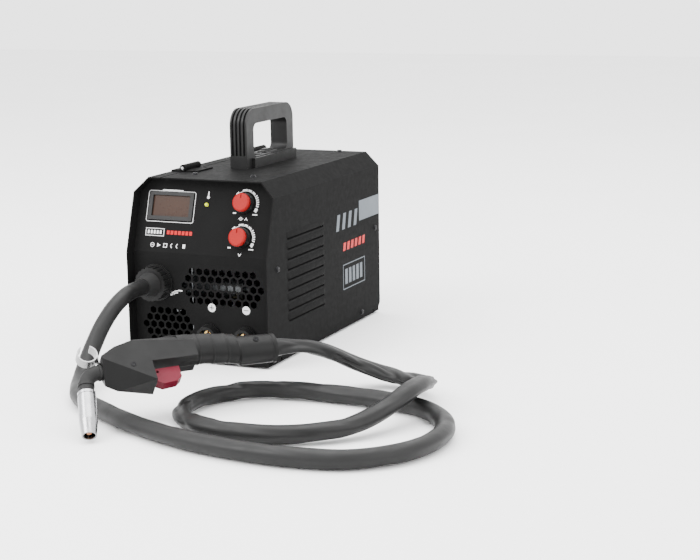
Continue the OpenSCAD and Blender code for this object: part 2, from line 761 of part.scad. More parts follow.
// Housing of the mains rocker switch
module power_switch() color("#1b1b1b") on_rear(switch_at) difference() {
    union() {
        translate([0, 0, -1]) cube([32, 26, 2], center = true);
        translate([0, 0, 10]) cube([27, 21, 20], center = true);
        for (x = [-7, 7]) translate([x, 0, 24]) cube([1, 6, 8], center = true);
    }
    rotate([0, 90, 0]) cylinder(r = 9.6, h = 19, center = true);
    translate([0, 0, -2]) cube([19, 19.2, 4], center = true);
}

// Rocker, resting with its lower half pressed in
module switch_rocker() color("#b3242b") on_rear(switch_at) rotate([9, 0, 0]) intersection() {
    rotate([0, 90, 0]) cylinder(r = 9.2, h = 18.4, center = true);
    rotate([0, 90, 0]) linear_extrude(18.4, center = true)
        polygon([[3, 0], [5.5, 12], [-9, 12], [-9, -12], [5.5, -12]]);
}

// Gland for a mains cord, empty
module mains_gland() color("#1c1c1c") on_rear(mains_at) difference() {
    union() {
        translate([0, 0, -6]) cylinder(r = 11, h = 6, $fn = 6);
        translate([0, 0, -16]) cylinder(r1 = 7.5, r2 = 10, h = 10);
        translate([0, 0, -1]) cylinder(r = 8, h = 12);
        translate([0, 0, sheet]) cylinder(r = 11, h = 4, $fn = 6);
    }
    translate([0, 0, -17]) cylinder(r = 4.5, h = 30);
}

// Side view of the torch handle, bowed grip and deep head
module torch_outline() polygon([
    [0, -17], [40, -22], [80, -27], [120, -28], [160, -24], [188, -16], [torch_l, -6],
    [torch_l, 24], [194, 33], [150, 33], [116, 14], [108, 8], [80, 7], [40, 13], [0, 17]
]);

module torch_shell(side) on_torch() {
    mirror([0, 0, side]) translate(trigger_pivot) cylinder(r = 1.5, h = 8);
    torch_half(side);
}

module torch_half(side) difference() {
    union() {
        mirror([0, 0, side]) linear_extrude(torch_t - 4) torch_outline();
        mirror([0, 0, side]) translate([0, 0, torch_t - 4]) linear_extrude(4) offset(delta = -4)
            torch_outline();
    }
    translate([115.5, 8, -7]) cube([34, 30, 14]);
    translate([150, neck_y, 0]) rotate([0, 90, 0]) cylinder(r = neck_r + 0.05, h = 60);
    for (at = [[24, 0], [172, 20]]) translate([at[0], at[1], 0]) cylinder(r = 2.6, h = 40, center = true);
}

module torch_shell_top() color("#343434") torch_shell(0);
module torch_shell_bottom() color("#343434") torch_shell(1);

// Trigger lever, turning about its front end
module torch_trigger() color("#b5294b") on_torch() difference() {
    translate([0, 0, -6.4]) linear_extrude(12.8)
        polygon([[119, 13], [119, 27], [125, 32], [141, 34], [148, 30], [148, 14]]);
    translate(trigger_pivot) cylinder(r = 1.6, h = 20, center = true);
}

// Insulated neck with the gas diffuser
module torch_neck() color("#262626") on_torch() {
    translate([151, neck_y, 0]) rotate([0, 90, 0]) cylinder(r = neck_r, h = neck_x - 151);
    translate([neck_x, neck_y + bend_r, 0]) rotate(-90) rotate_extrude(angle = neck_bend)
        translate([bend_r, 0]) circle(neck_r);
    translate([torch_l + 1.5, neck_y, 0]) rotate([0, 90, 0]) cylinder(r = neck_r + 0.8, h = 2);
    at_neck_end() {
        translate([0, 0, -2]) cylinder(r = neck_r + 0.8, h = 4);
        cylinder(r = neck_r, h = 10);
        cylinder(r = 5, h = 26);
    }
}

// Places a part at the end of the neck's bend, Z along the nozzle
module at_neck_end()
    translate([neck_x + bend_r * sin(neck_bend), neck_y + bend_r * (1 - cos(neck_bend)), 0])
        rotate(neck_bend) rotate([0, 90, 0]) children();

// Steel gas nozzle with two rings at its root
module gas_nozzle() color("#b8bbbf") on_torch() at_neck_end() translate([0, 0, 10]) difference() {
    union() {
        cylinder(r = 10, h = 3);
        translate([0, 0, 3]) cylinder(r = 9.4, h = 3);
        translate([0, 0, 6]) cylinder(r = 10, h = 30);
        translate([0, 0, 36]) cylinder(r1 = 10, r2 = 8.2, h = 18);
    }
    translate([0, 0, -1]) cylinder(r = 7.6, h = 31);
    translate([0, 0, 30]) cylinder(r1 = 7.6, r2 = 6.6, h = 25);
}

module contact_tip() color("#b8703c") on_torch() at_neck_end() translate([0, 0, 26]) difference() {
    union() {
        cylinder(r = 3.6, h = 12);
        translate([0, 0, 12]) cylinder(r1 = 3.6, r2 = 2.4, h = 23);
    }
    translate([0, 0, -1]) cylinder(r = 0.6, h = 40);
}

// Strip of spring steel bent into a hanging hook
module torch_hook() color("#c4c7ca") on_torch() translate([0, 0, -6]) linear_extrude(12) {
    difference() {
        translate([torch_l + 11.4, -17]) circle(11.4);
        translate([torch_l + 11.4, -17]) circle(10);
        translate([torch_l + 4, -43]) rotate(-8) square([10, 22]);
    }
    translate([torch_l, -17]) square([1.4, 14]);
}

base_pan();
rubber_feet();
outer_cover();
casing_screws();
front_panel();
rear_panel();
partition();
carry_handle();
hinge_leaves();
hinge_pins();
side_door();
door_hinge_leaves();
door_latch();
display_bezel();
display_window();
display_board();
power_led();
control_pots();
current_knob();
current_cap();
voltage_knob();
voltage_cap();
positive_socket();
positive_contact();
negative_socket();
negative_contact();
torch_gland();
gland_nut();
torch_lead();
feeder_plate();
feed_motor();
drive_roll();
pressure_arm();
pressure_roll();
tension_arm();
wire_guides();
filler_wire();
spool_hub();
wire_spool();
wire_winding();
spool_nut();
main_board();
heat_sinks();
capacitors();
transformer();
output_choke();
fan_frame();
fan_rotor();
fan_guard();
power_switch();
switch_rocker();
mains_gland();
torch_shell_top();
torch_shell_bottom();
torch_trigger();
torch_neck();
gas_nozzle();
contact_tip();
torch_hook();
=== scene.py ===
"""Looks of a portable MIG welding machine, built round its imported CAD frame.

Lengths are in metres. Those of the design are given in millimetres and multiplied by MM.
"""

import math

import bmesh
import bpy
from mathutils import Matrix, Vector, noise


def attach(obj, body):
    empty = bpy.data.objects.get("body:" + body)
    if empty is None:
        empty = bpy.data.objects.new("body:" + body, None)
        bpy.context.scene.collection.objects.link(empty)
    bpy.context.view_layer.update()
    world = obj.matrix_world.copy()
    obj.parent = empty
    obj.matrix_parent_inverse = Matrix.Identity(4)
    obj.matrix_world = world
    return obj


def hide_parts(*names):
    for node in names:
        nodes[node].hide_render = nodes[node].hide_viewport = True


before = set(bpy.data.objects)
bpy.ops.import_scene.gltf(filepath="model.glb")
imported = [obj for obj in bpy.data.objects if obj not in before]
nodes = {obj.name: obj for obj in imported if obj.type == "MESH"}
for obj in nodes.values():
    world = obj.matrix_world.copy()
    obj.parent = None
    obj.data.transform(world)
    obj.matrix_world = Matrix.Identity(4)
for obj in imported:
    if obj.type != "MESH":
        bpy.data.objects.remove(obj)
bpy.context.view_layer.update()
MM = 0.001
ROOT = "machine"

# ---------------------------------------------------------------- camera and lead

# The machine's own places, as in its design
PANEL_Y = -164 * MM
FOLD_Z = 138 * MM
SLOPE = math.atan2(30, 94)
SIDE_X = 100 * MM
TORCH_AT = Vector((168, -302, 64)) * MM
TORCH_TURN = Matrix.Rotation(math.radians(228), 3, "Z") @ Matrix.Rotation(math.radians(-42), 3, "X")

CAMERA_AT = Vector((0.974, -1.906, 0.504))
CAMERA_AIM = Vector((-0.396, 0.897, -0.198))
CAMERA_LENS = 82.3
CAMERA_ROLL = math.radians(-0.85)

LEAD_WIDTH = 0.022
LEAD_RING_STEP = 0.0025
LEAD_SIDES = 36
LEAD_LOWEST = 0.0006
LEAD_ROUTE = [
    (-66, -200, 98.5), (-66, -222, 98.5), (-67, -242, 95), (-70, -264, 84), (-73, -285, 67),
    (-74, -305, 47), (-72, -325, 29), (-66, -346, 16), (-54, -370, 11.8), (-36, -396, 11.3),
    (-10, -420, 11.3), (25, -443, 11.3), (65, -466, 11.3), (110, -486, 11.3), (155, -502, 11.3),
    (200, -513, 11.3), (248, -519, 11.3), (298, -518, 11.3), (352, -503, 11.3), (394, -461, 11.3),
    (409, -404, 11.3), (394, -347, 11.3), (352, -306, 11.3), (300, -290, 11.3), (245, -286, 11.3),
    (186, -290, 11.3), (143, -302, 11.3), (112, -333, 11.3), (100, -376, 11.3), (112, -419, 11.3),
    (143, -450, 11.3), (186, -462, 11.3), (235, -458, 11.3), (278, -440, 12.3), (312, -408, 15.5),
    (333, -368, 25), (344, -325, 34.5), (344, -282, 33), (331, -240, 22), (303, -210, 14.5),
    (266, -201, 17), (234, -220, 32), (208, -252, 52), (187, -280, 62.4), (168, -302, 64),
]


def link(obj):
    bpy.context.scene.collection.objects.link(obj)
    return obj


def add_camera():
    data = bpy.data.cameras.new("camera")
    data.lens = CAMERA_LENS
    data.sensor_width = 36
    camera = link(bpy.data.objects.new("camera", data))
    turn = CAMERA_AIM.to_track_quat("-Z", "Y").to_matrix() @ Matrix.Rotation(CAMERA_ROLL, 3, "Z")
    camera.matrix_world = Matrix.Translation(CAMERA_AT) @ turn.to_4x4()
    bpy.context.scene.camera = camera


def smooth_path(points, step):
    """Points about a step apart on the Catmull-Rom curve through the given points."""
    pts = [Vector(p) for p in points]
    pts = [2 * pts[0] - pts[1]] + pts + [2 * pts[-1] - pts[-2]]
    path = []
    for a, b, c, d in zip(pts, pts[1:], pts[2:], pts[3:]):
        count = max(2, round((c - b).length / step))
        for i in range(count):
            t = i / count
            path.append(
                0.5 * (2 * b + (c - a) * t + (2 * a - 5 * b + 4 * c - d) * t**2
                       + (3 * b - a - 3 * c + d) * t**3)
            )
    return path + [pts[-2]]


def span(value, low, high):
    """0 below low, 1 above high, and smooth between."""
    t = min(1.0, max(0.0, (value - low) / (high - low)))
    return t * t * (3 - 2 * t)


# ---------------------------------------------------------------- materials

# Sockets of a Mix node that works on colours
MIX_COLOR_INPUTS = (6, 7)
MIX_COLOR_OUTPUT = 2

# Where the colour changes on nodes inside the casing, a hair past the faces of their parts
BOARD_UNDERSIDE = 149.7 * MM
BOARD_TOP = 151.7 * MM
CAPACITOR_TOPS = 191.3 * MM
TRANSFORMER_Y = 63 * MM
CORE_HALF_WIDTH = 33.1 * MM


class Paint:
    """Builds a procedural material: colour mottling, roughness variation and fine relief."""

    def __init__(self, name, color, rough, metal=0.0):
        self.m = bpy.data.materials.new(name)
        self.m.use_nodes = True
        self.tree = self.m.node_tree
        self.shader = self.tree.nodes["Principled BSDF"]
        self.coords = self.tree.nodes.new("ShaderNodeTexCoord").outputs["Object"]
        self.color = color
        self.shader.inputs["Metallic"].default_value = metal
        self.set("Roughness", rough)
        self.rough = rough
        self.normal = None

    def set(self, socket, value):
        self.shader.inputs[socket].default_value = value
        return self

    def node(self, kind, inputs=None, **facts):
        n = self.tree.nodes.new("ShaderNode" + kind)
        for key, value in facts.items():
            setattr(n, key, value)
        for key, value in (inputs or {}).items():
            if isinstance(value, bpy.types.NodeSocket):
                self.tree.links.new(value, n.inputs[key])
            else:
                n.inputs[key].default_value = value
        return n

    def stretched(self, scale):
        return self.node("Mapping", {"Vector": self.coords, "Scale": scale}).outputs["Vector"]

    def noise(self, scale, detail=3.0, stretch=None):
        vector = self.stretched(stretch) if stretch else self.coords
        return self.node(
            "TexNoise", {"Vector": vector, "Scale": scale, "Detail": detail}
        ).outputs["Fac"]

    def ramp(self, fac, low, high, a, b):
        """A colour that goes from a to b as fac goes from low to high."""
        n = self.node("ValToRGB", {"Fac": fac})
        first, last = n.color_ramp.elements
        first.position, last.position = low, high
        first.color, last.color = (*a, 1), (*b, 1)
        return n.outputs["Color"]

    def mix(self, fac, a, b):
        """Colour a where fac is 0 and b where it is 1; each is a fixed colour or an output."""
        n = self.node("Mix", {"Factor": fac}, data_type="RGBA")
        for place, color in zip(MIX_COLOR_INPUTS, (a, b)):
            if isinstance(color, bpy.types.NodeSocket):
                self.tree.links.new(color, n.inputs[place])
            else:
                n.inputs[place].default_value = (*color, 1)
        return n.outputs[MIX_COLOR_OUTPUT]

    def mottle(self, scale=60.0, spread=0.12):
        """Base colour that varies a little over the surface."""
        dark = tuple(c * (1 - spread) for c in self.color)
        light = tuple(min(1.0, c * (1 + spread)) for c in self.color)
        self.tint(self.ramp(self.noise(scale), 0.3, 0.7, dark, light))
        return self

    def tint(self, output):
        self.tree.links.new(output, self.shader.inputs["Base Color"])
        return self

    def vary_rough(self, scale=90.0, spread=0.08, stretch=None):
        n = self.node(
            "MapRange",
            {
                "Value": self.noise(scale, 4.0, stretch),
                "From Min": 0.3, "From Max": 0.7,
                "To Min": max(0.02, self.rough - spread),
                "To Max": min(1.0, self.rough + spread),
            },
        )
        self.tree.links.new(n.outputs["Result"], self.shader.inputs["Roughness"])
        return self

    def relief(self, height, strength, distance):
        """Adds a bump; later calls stack on the earlier ones."""
        inputs = {"Height": height, "Strength": strength, "Distance": distance}
        if self.normal is not None:
            inputs["Normal"] = self.normal
        self.normal = self.node("Bump", inputs).outputs["Normal"]
        self.tree.links.new(self.normal, self.shader.inputs["Normal"])
        return self

    def axis(self, name):
        return self.node("SeparateXYZ", {"Vector": self.coords}).outputs[name]

    def above(self, value, limit):
        """1 where value is over limit, else 0."""
        return self.node(
            "Math", {0: value, 1: limit}, operation="GREATER_THAN"
        ).outputs["Value"]


def grey(value):
    return (value, value, value)


def powder_coat(name, color):
    p = Paint(name, color, 0.62).mottle(35, 0.06).vary_rough(140, 0.06)
    p.set("Specular IOR Level", 0.02)
    p.relief(p.noise(1900, 2), 0.30, 0.00016)
    return p.relief(p.noise(420, 2), 0.10, 0.0003).m


def moulding(name, color, rough=0.44, grain=2600, depth=0.22):
    p = Paint(name, color, rough).mottle(50, 0.10).vary_rough(70, 0.07)
    p.set("Specular IOR Level", 0.14)
    return p.relief(p.noise(grain, 2), depth, 0.00012).m


def gloss(name, color, rough=0.22):
    p = Paint(name, color, rough).mottle(40, 0.07).vary_rough(160, 0.05)
    p.set("Coat Weight", 0.04).set("Coat Roughness", 0.25).set("Specular IOR Level", 0.14)
    return p.relief(p.noise(600, 2), 0.05, 0.0001).m


def rubber(name, color, rough=0.62):
    p = Paint(name, color, rough).mottle(30, 0.14).vary_rough(60, 0.08)
    p.set("Specular IOR Level", 0.22)
    return p.relief(p.noise(1300, 4), 0.18, 0.00018).m


def metal(name, color, rough=0.28, stretch=(1, 1, 14), scale=160, depth=0.10):
    p = Paint(name, color, rough, 1.0).mottle(45, 0.10).vary_rough(scale, 0.10, stretch)
    return p.relief(p.noise(scale * 4, 3, stretch), depth, 0.00008).m


def zinc(name):
    p = Paint(name, (0.43, 0.44, 0.46), 0.36, 1.0)
    cells = p.node("TexVoronoi", {"Vector": p.coords, "Scale": 130.0}).outputs["Distance"]
    p.tint(p.ramp(cells, 0.1, 0.6, (0.10, 0.105, 0.11), (0.15, 0.155, 0.16)))
    return p.vary_rough(200, 0.10).m


def circuit_board(name, split_z=None):
    """Green solder mask with copper runs; with split_z, dark parts above it and bare posts under."""
    p = Paint(name, (0.01, 0.09, 0.04), 0.3)
    runs = p.node(
        "TexBrick",
        {"Vector": p.coords, "Scale": 150.0, "Mortar Size": 0.06,
         "Color1": (0.006, 0.075, 0.032, 1), "Color2": (0.010, 0.115, 0.048, 1),
         "Mortar": (0.035, 0.20, 0.075, 1)},
    )
    out = runs.outputs["Color"]
    if split_z is not None:
        out = p.mix(p.above(p.axis("Z"), split_z), out, (0.012, 0.022, 0.05))
        out = p.mix(p.above(p.axis("Z"), BOARD_UNDERSIDE), (0.42, 0.43, 0.45), out)
    p.tint(out)
    return p.relief(runs.outputs["Fac"], 0.15, 0.0002).m


def transformer_paint(name):
    """Dark ferrite in the middle, amber tape on the windings that stand out of it."""
    p = Paint(name, (0.3, 0.2, 0.05), 0.4)
    away = p.node("Math", {0: p.axis("Y"), 1: -TRANSFORMER_Y}, operation="ADD").outputs["Value"]
    away = p.node("Math", {0: away}, operation="ABSOLUTE").outputs["Value"]
    tape = p.ramp(p.noise(80), 0.3, 0.7, (0.42, 0.22, 0.03), (0.55, 0.31, 0.05))
    core = p.ramp(p.noise(300), 0.3, 0.7, (0.035, 0.035, 0.037), (0.06, 0.06, 0.062))
    p.tint(p.mix(p.above(away, CORE_HALF_WIDTH), core, tape))
    return p.relief(p.noise(500, 3), 0.2, 0.0003).m


def capacitor_paint(name):
    p = Paint(name, (0.02, 0.03, 0.08), 0.25)
    sleeve = p.ramp(p.noise(40), 0.3, 0.7, (0.012, 0.022, 0.060), (0.020, 0.034, 0.085))
    p.tint(p.mix(p.above(p.axis("Z"), CAPACITOR_TOPS), sleeve, (0.55, 0.56, 0.58)))
    return p.set("Coat Weight", 0.3).relief(p.noise(300), 0.08, 0.0002).m


def wound_wire(name, axis_scale, color=(0.78, 0.38, 0.16)):
    """Turns of wire side by side along one axis, with painted shade in the grooves between them."""
    p = Paint(name, color, 0.27, 1.0)
    turns = p.node(
        "TexWave",
        {"Vector": p.stretched(axis_scale), "Scale": 1.0, "Distortion": 0.35, "Detail": 1.0},
        wave_type="BANDS", bands_direction="X", wave_profile="SIN",
    ).outputs["Fac"]
    # painted shade: the grooves between the turns are darkened to 0.35 of the wire's colour
    painted_groove_shade = tuple(c * 0.35 for c in color)
    p.tint(p.ramp(turns, 0.05, 0.5, painted_groove_shade, color))
    return p.relief(turns, 0.9, 0.0005).m


M = {
    "casing": powder_coat("casing_coat", grey(0.0060)),
    "panel": powder_coat("panel_coat", grey(0.0070)),
    "moulded": moulding("moulded_black", grey(0.006)),
    "handle": moulding("handle_plastic", grey(0.010), 0.42),
    "torch": moulding("torch_plastic", grey(0.0035), 0.44, 2200, 0.3),
    "socket": moulding("socket_plastic", grey(0.005), 0.38),
    "soft": rubber("soft_rubber", grey(0.007)),
    "sleeve": rubber("lead_sleeve", grey(0.0055), 0.46),
    "bezel": moulding("bezel_plastic", grey(0.014), 0.34),
    "window": gloss("smoked_window", (0.024, 0.010, 0.005), 0.3),
    "red": gloss("red_caps", (0.22, 0.003, 0.0025), 0.5),
    "crimson": gloss("trigger_crimson", (0.095, 0.002, 0.011), 0.45),
    "led": gloss("lamp_lens", (0.46, 0.52, 0.03), 0.15),
    "hinge": powder_coat("hinge_black", grey(0.006)),
    "steel": metal("bright_steel", (0.60, 0.61, 0.62), 0.20),
    "nozzle": metal("nozzle_steel", (0.36, 0.36, 0.37), 0.26, (1, 1, 1), 240, 0.08),
    "spring": metal("spring_steel", (0.24, 0.24, 0.24), 0.3),
    "zinc": zinc("zinc_sheet"),
    "alloy": metal("cast_alloy", (0.14, 0.145, 0.15), 0.42, (1, 1, 1), 500, 0.25),
    "fins": metal("fin_alloy", (0.16, 0.165, 0.17), 0.34, (1, 20, 1), 120, 0.1),
    "brass": metal("brass", (0.72, 0.50, 0.20), 0.26, (1, 8, 1)),
    "copper": metal("copper", (0.72, 0.34, 0.18), 0.33, (1, 1, 1), 300, 0.12),
    "enamel": wound_wire("enamelled_turns", (700, 700, 1), (0.42, 0.13, 0.05)),
    "winding": wound_wire("wire_turns", (3500, 1, 1)),
    "board": circuit_board("circuit_board", BOARD_TOP),
    "small_board": circuit_board("display_circuit"),
    "transformer": transformer_paint("transformer_paint"),
    "capacitor": capacitor_paint("capacitor_sleeves"),
    "screw": metal("black_screws", (0.014, 0.014, 0.015), 0.42, (1, 1, 1), 300, 0.1),
    "white_print": gloss("white_print", (0.62, 0.62, 0.62), 0.5),
    "grey_print": gloss("grey_print", (0.085, 0.098, 0.112), 0.5),
    "red_print": gloss("red_print", (0.36, 0.006, 0.006), 0.5),
    "drive": moulding("red_moulding", (0.45, 0.02, 0.02), 0.4),
}

NODE_LOOKS = {
    "casing": ["base_pan", "outer_cover", "side_door", "rear_panel"],
    "panel": ["front_panel"],
    "soft": ["rubber_feet", "torch_gland", "torch_neck"],
    "screw": ["casing_screws"],
    "zinc": ["partition"],
    "handle": ["carry_handle"],
    "hinge": ["hinge_leaves", "door_hinge_leaves"],
    "steel": ["hinge_pins", "drive_roll", "pressure_roll"],
    "moulded": ["door_latch", "current_knob", "voltage_knob", "gland_nut", "pressure_arm",
                "spool_hub", "wire_spool", "spool_nut", "fan_frame", "fan_rotor",
                "power_switch", "mains_gland"],
    "bezel": ["display_bezel"],
    "window": ["display_window"],
    "small_board": ["display_board"],
    "led": ["power_led"],
    "alloy": ["control_pots", "feeder_plate", "feed_motor"],
    "red": ["current_cap", "voltage_cap"],
    "socket": ["positive_socket", "negative_socket"],
    "brass": ["positive_contact", "negative_contact", "wire_guides"],
    "drive": ["tension_arm", "switch_rocker"],
    "copper": ["filler_wire", "contact_tip"],
    "winding": ["wire_winding"],
    "board": ["main_board"],
    "fins": ["heat_sinks"],
    "capacitor": ["capacitors"],
    "transformer": ["transformer"],
    "enamel": ["output_choke"],
    "spring": ["fan_guard", "torch_hook"],
    "torch": ["torch_shell_top", "torch_shell_bottom"],
    "crimson": ["torch_trigger"],
    "nozzle": ["gas_nozzle"],
    "sleeve": ["torch_lead"],
}

# Rounding of the edges of nodes that stay as the CAD made them
EDGE_ROUNDING = {
    "outer_cover": 0.35, "side_door": 0.35, "front_panel": 0.25, "rear_panel": 0.25,
    "base_pan": 0.3, "carry_handle": 0.7, "hinge_leaves": 0.35, "door_hinge_leaves": 0.35,
    "door_latch": 0.6, "display_bezel": 0.5, "current_knob": 0.4, "voltage_knob": 0.4,
    "current_cap": 0.5, "voltage_cap": 0.5, "positive_socket": 0.5, "negative_socket": 0.5,
    "gland_nut": 0.5, "torch_gland": 0.6, "feeder_plate": 0.6, "feed_motor": 0.6,
    "pressure_arm": 0.7, "tension_arm": 0.6, "wire_spool": 0.4, "spool_nut": 0.5,
    "capacitors": 0.8, "transformer": 0.6, "fan_frame": 0.6, "power_switch": 0.5,
    "switch_rocker": 0.5, "mains_gland": 0.5, "torch_trigger": 1.2, "gas_nozzle": 0.3,
    "torch_hook": 0.3, "hinge_pins": 0.4, "drive_roll": 0.4, "pressure_roll": 0.4,
    "spool_hub": 0.4, "rubber_feet": 0.4, "main_board": 0.2, "casing_screws": 0.25,
}


def dress_nodes():
    for look, names in NODE_LOOKS.items():
        for name in names:
            slots = nodes[name].data.materials
            slots.clear()
            slots.append(M[look])
    for name, width in EDGE_ROUNDING.items():
        bevel = nodes[name].modifiers.new("edges", "BEVEL")
        bevel.width = width * MM
        bevel.segments = 2
        bevel.limit_method = "ANGLE"
        bevel.angle_limit = math.radians(38)
        bevel.harden_normals = True
        bevel.use_clamp_overlap = True


# ---------------------------------------------------------------- mesh helpers


def solid(name, verts, faces, look, smooth=True, sharp=40):
    """A closed piece from points and faces in the shared frame, fixed to the machine."""
    mesh = bpy.data.meshes.new(name)
    mesh.from_pydata([tuple(v) for v in verts], [], faces)
    bm = bmesh.new()
    bm.from_mesh(mesh)
    bmesh.ops.recalc_face_normals(bm, faces=bm.faces)
    for face in bm.faces:
        face.smooth = smooth
    for edge in bm.edges:
        if len(edge.link_faces) == 2 and edge.calc_face_angle(0) > math.radians(sharp):
            edge.smooth = False
    bm.to_mesh(mesh)
    bm.free()
    mesh.materials.append(M[look])
    obj = link(bpy.data.objects.new(name, mesh))
    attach(obj, ROOT)
    return obj


def loft(rings):
    """Faces that join rings of equal length, and caps at the two ends."""
    n = len(rings[0])
    verts = [v for ring in rings for v in ring]
    faces = []
    for i in range(len(rings) - 1):
        for k in range(n):
            a, b = i * n + k, i * n + (k + 1) % n
            faces.append((a, b, b + n, a + n))
    faces.append(tuple(range(n))[::-1])
    faces.append(tuple((len(rings) - 1) * n + k for k in range(n)))
    return verts, faces


def on_slope(x, s, lift=0.0):
    """Point on the leaning panel, x across, s up from the fold, in millimetres."""
    return Vector((
        x * MM,
        PANEL_Y + (s * math.sin(SLOPE) - lift * math.cos(SLOPE)) * MM,
        FOLD_Z + (s * math.cos(SLOPE) + lift * math.sin(SLOPE)) * MM,
    ))


def on_front(x, z, lift=0.0):
    return Vector((x * MM, PANEL_Y - lift * MM, z * MM))


def on_side(y, z, lift=0.0):
    return Vector((SIDE_X + lift * MM, y * MM, z * MM))


class Print:
    """Thin printed marks on one surface, gathered into one mesh per colour."""

    # Underside and top of a mark, in millimetres out from the surface
    LIFTS = (-0.05, 0.12)

    def __init__(self, place):
        self.place = place
        self.parts = {}

    def _add(self, look, outline, holes_ring=None):
        verts, faces = self.parts.setdefault(look, ([], []))
        start = len(verts)
        n = len(outline)
        if holes_ring is None:
            for lift in self.LIFTS:
                verts.extend(self.place(x, y, lift) for x, y in outline)
            faces.append(tuple(start + k for k in range(n))[::-1])
            faces.append(tuple(start + n + k for k in range(n)))
            for k in range(n):
                j = (k + 1) % n
                faces.append((start + k, start + j, start + n + j, start + n + k))
            return
        for lift in self.LIFTS:
            for loop in (outline, holes_ring):
                verts.extend(self.place(x, y, lift) for x, y in loop)
        for k in range(n):
            j = (k + 1) % n
            o0, o1, i0, i1 = start + k, start + j, start + n + k, start + n + j
            up = 2 * n
            faces.append((o0, o1, i1, i0))
            faces.append((o0 + up, o1 + up, i1 + up, i0 + up))
            faces.append((o0, o1, o1 + up, o0 + up))
            faces.append((i0, i1, i1 + up, i0 + up))

    def patch(self, look, points):
        self._add(look, points)

    def bar(self, look, x0, y0, x1, y1):
        self._add(look, [(x0, y0), (x1, y0), (x1, y1), (x0, y1)])

    def frame(self, look, x0, y0, x1, y1, line, radius=0.0):
        outer = rounded_box(x0, y0, x1, y1, radius)
        inner = rounded_box(x0 + line, y0 + line, x1 - line, y1 - line, max(0.0, radius - line))
        self._add(look, outer, inner)

    def disc(self, look, x, y, r, sides=36):
        self._add(look, circle_points(x, y, r, sides))

    def ring(self, look, x, y, r0, r1, sides):
        self._add(look, circle_points(x, y, r1, sides), circle_points(x, y, r0, sides))

    def sector(self, look, x, y, r0, r1, a0, a1):
        """Part of a ring; angles in degrees, clockwise from straight up."""
        steps = max(2, round((a1 - a0) / 4))
        turn = [math.radians(a0 + (a1 - a0) * i / steps) for i in range(steps + 1)]
        outer = [(x + r1 * math.sin(t), y + r1 * math.cos(t)) for t in turn]
        inner = [(x + r0 * math.sin(t), y + r0 * math.cos(t)) for t in reversed(turn)]
        self._add(look, outer + inner)

    def stroke(self, look, points, width):
        """A line of even width through points."""
        left, right = [], []
        for i, (x, y) in enumerate(points):
            ax, ay = points[max(0, i - 1)]
            bx, by = points[min(len(points) - 1, i + 1)]
            d = math.hypot(bx - ax, by - ay)
            nx, ny = -(by - ay) / d * width / 2, (bx - ax) / d * width / 2
            left.append((x + nx, y + ny))
            right.append((x - nx, y - ny))
        self._add(look, left + right[::-1])

    def finish(self, name):
        for look, (verts, faces) in self.parts.items():
            solid(f"{name}_{look}", verts, faces, look, smooth=False)


def circle_points(x, y, r, sides):
    return [
        (x + r * math.cos(2 * math.pi * k / sides), y + r * math.sin(2 * math.pi * k / sides))
        for k in range(sides)
    ]


def rounded_box(x0, y0, x1, y1, radius, steps=5):
    """Corner arcs of a rounded rectangle, always the same number of points."""
    # the points of a square corner are kept this far apart
    apart = 0 if radius else 1e-4
    points = []
    for cx, cy, start in (
        (x1 - radius, y1 - radius, 0), (x0 + radius, y1 - radius, 90),
        (x0 + radius, y0 + radius, 180), (x1 - radius, y0 + radius, 270),
    ):
        for i in range(steps + 1):
            t = math.radians(start + 90 * i / steps)
            points.append((cx + radius * math.cos(t) - apart * i * math.sin(t),
                           cy + radius * math.sin(t) + apart * i * math.cos(t)))
    return points


# ---------------------------------------------------------------- the lead


def fold_depth(s, turn, length):
    """How far the sleeve is pressed in at a place along it, in millimetres."""
    # tight at first, loose round the coil's left end, tighter again and loose near the torch
    loose = 0.25 + 0.75 * span(s, 0.95, 1.15) - 0.6 * span(s, 1.25, 1.35) + 0.75 * span(s, 1.6, 1.7)
    # smooth where it leaves the gland and where it enters the torch
    loose *= span(s, 0.10, 0.35) * (1 - span(s, length - 0.012, length))
    skew = turn + 7 * s
    spot = Vector((0.8 * math.cos(skew), 0.8 * math.sin(skew), 15 * s))
    value = noise.noise(spot)
    crease = span(1 - abs(value) * 3.0, 0.0, 1.0)
    swell = noise.noise(Vector((0.7 * math.cos(turn), 0.7 * math.sin(turn), 9 * s + 4)))
    late = span(s, length - 0.62, length - 0.45)
    return loose * ((2.0 + 0.6 * late) * crease - 2.9 * swell)


def add_lead():
    route = [Vector(p) * MM for p in LEAD_ROUTE]
    path = smooth_path(route, LEAD_RING_STEP)
    along, length = [0.0], 0.0
    for a, b in zip(path, path[1:]):
        length += (b - a).length
        along.append(length)
    rings = []
    for i, at in enumerate(path):
        s = along[i]
        tangent = (path[min(i + 1, len(path) - 1)] - path[max(i - 1, 0)]).normalized()
        side = tangent.cross(Vector((0, 0, 1))).normalized()
        up = side.cross(tangent)
        flat = 0.05 + 0.06 * noise.noise(Vector((3.0, 0, 6 * s))) + 0.20 * span(s, 1.45, 1.6)
        flat *= span(s, 0.08, 0.3) * (1 - span(s, length - 0.03, length))
        width = LEAD_WIDTH / 2 / MM * (0.90 + 0.10 * span(s, 0.02, 0.25))
        ring = []
        for k in range(LEAD_SIDES):
            turn = 2 * math.pi * k / LEAD_SIDES
            r = width - fold_depth(s, turn, length)
            x = r * math.cos(turn) * (1 + flat)
            y = r * math.sin(turn) * (1 - flat)
            point = at + (side * x + up * y) * MM
            point.z = max(point.z, LEAD_LOWEST)
            ring.append(point)
        rings.append(ring)
    verts, faces = loft(rings)
    lead = solid("lead_sleeve", verts, faces, "sleeve", sharp=60)
    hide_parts("torch_lead")


# ---------------------------------------------------------------- the torch


def in_torch(x, y, z):
    return TORCH_AT + TORCH_TURN @ (Vector((x, y, z)) * MM)


GRIP_END = 114
GRIP_RINGS = 184
GRIP_SIDES = 56
COLLAR_END = 47
GRIP_BANDS = (58, 75, 92)

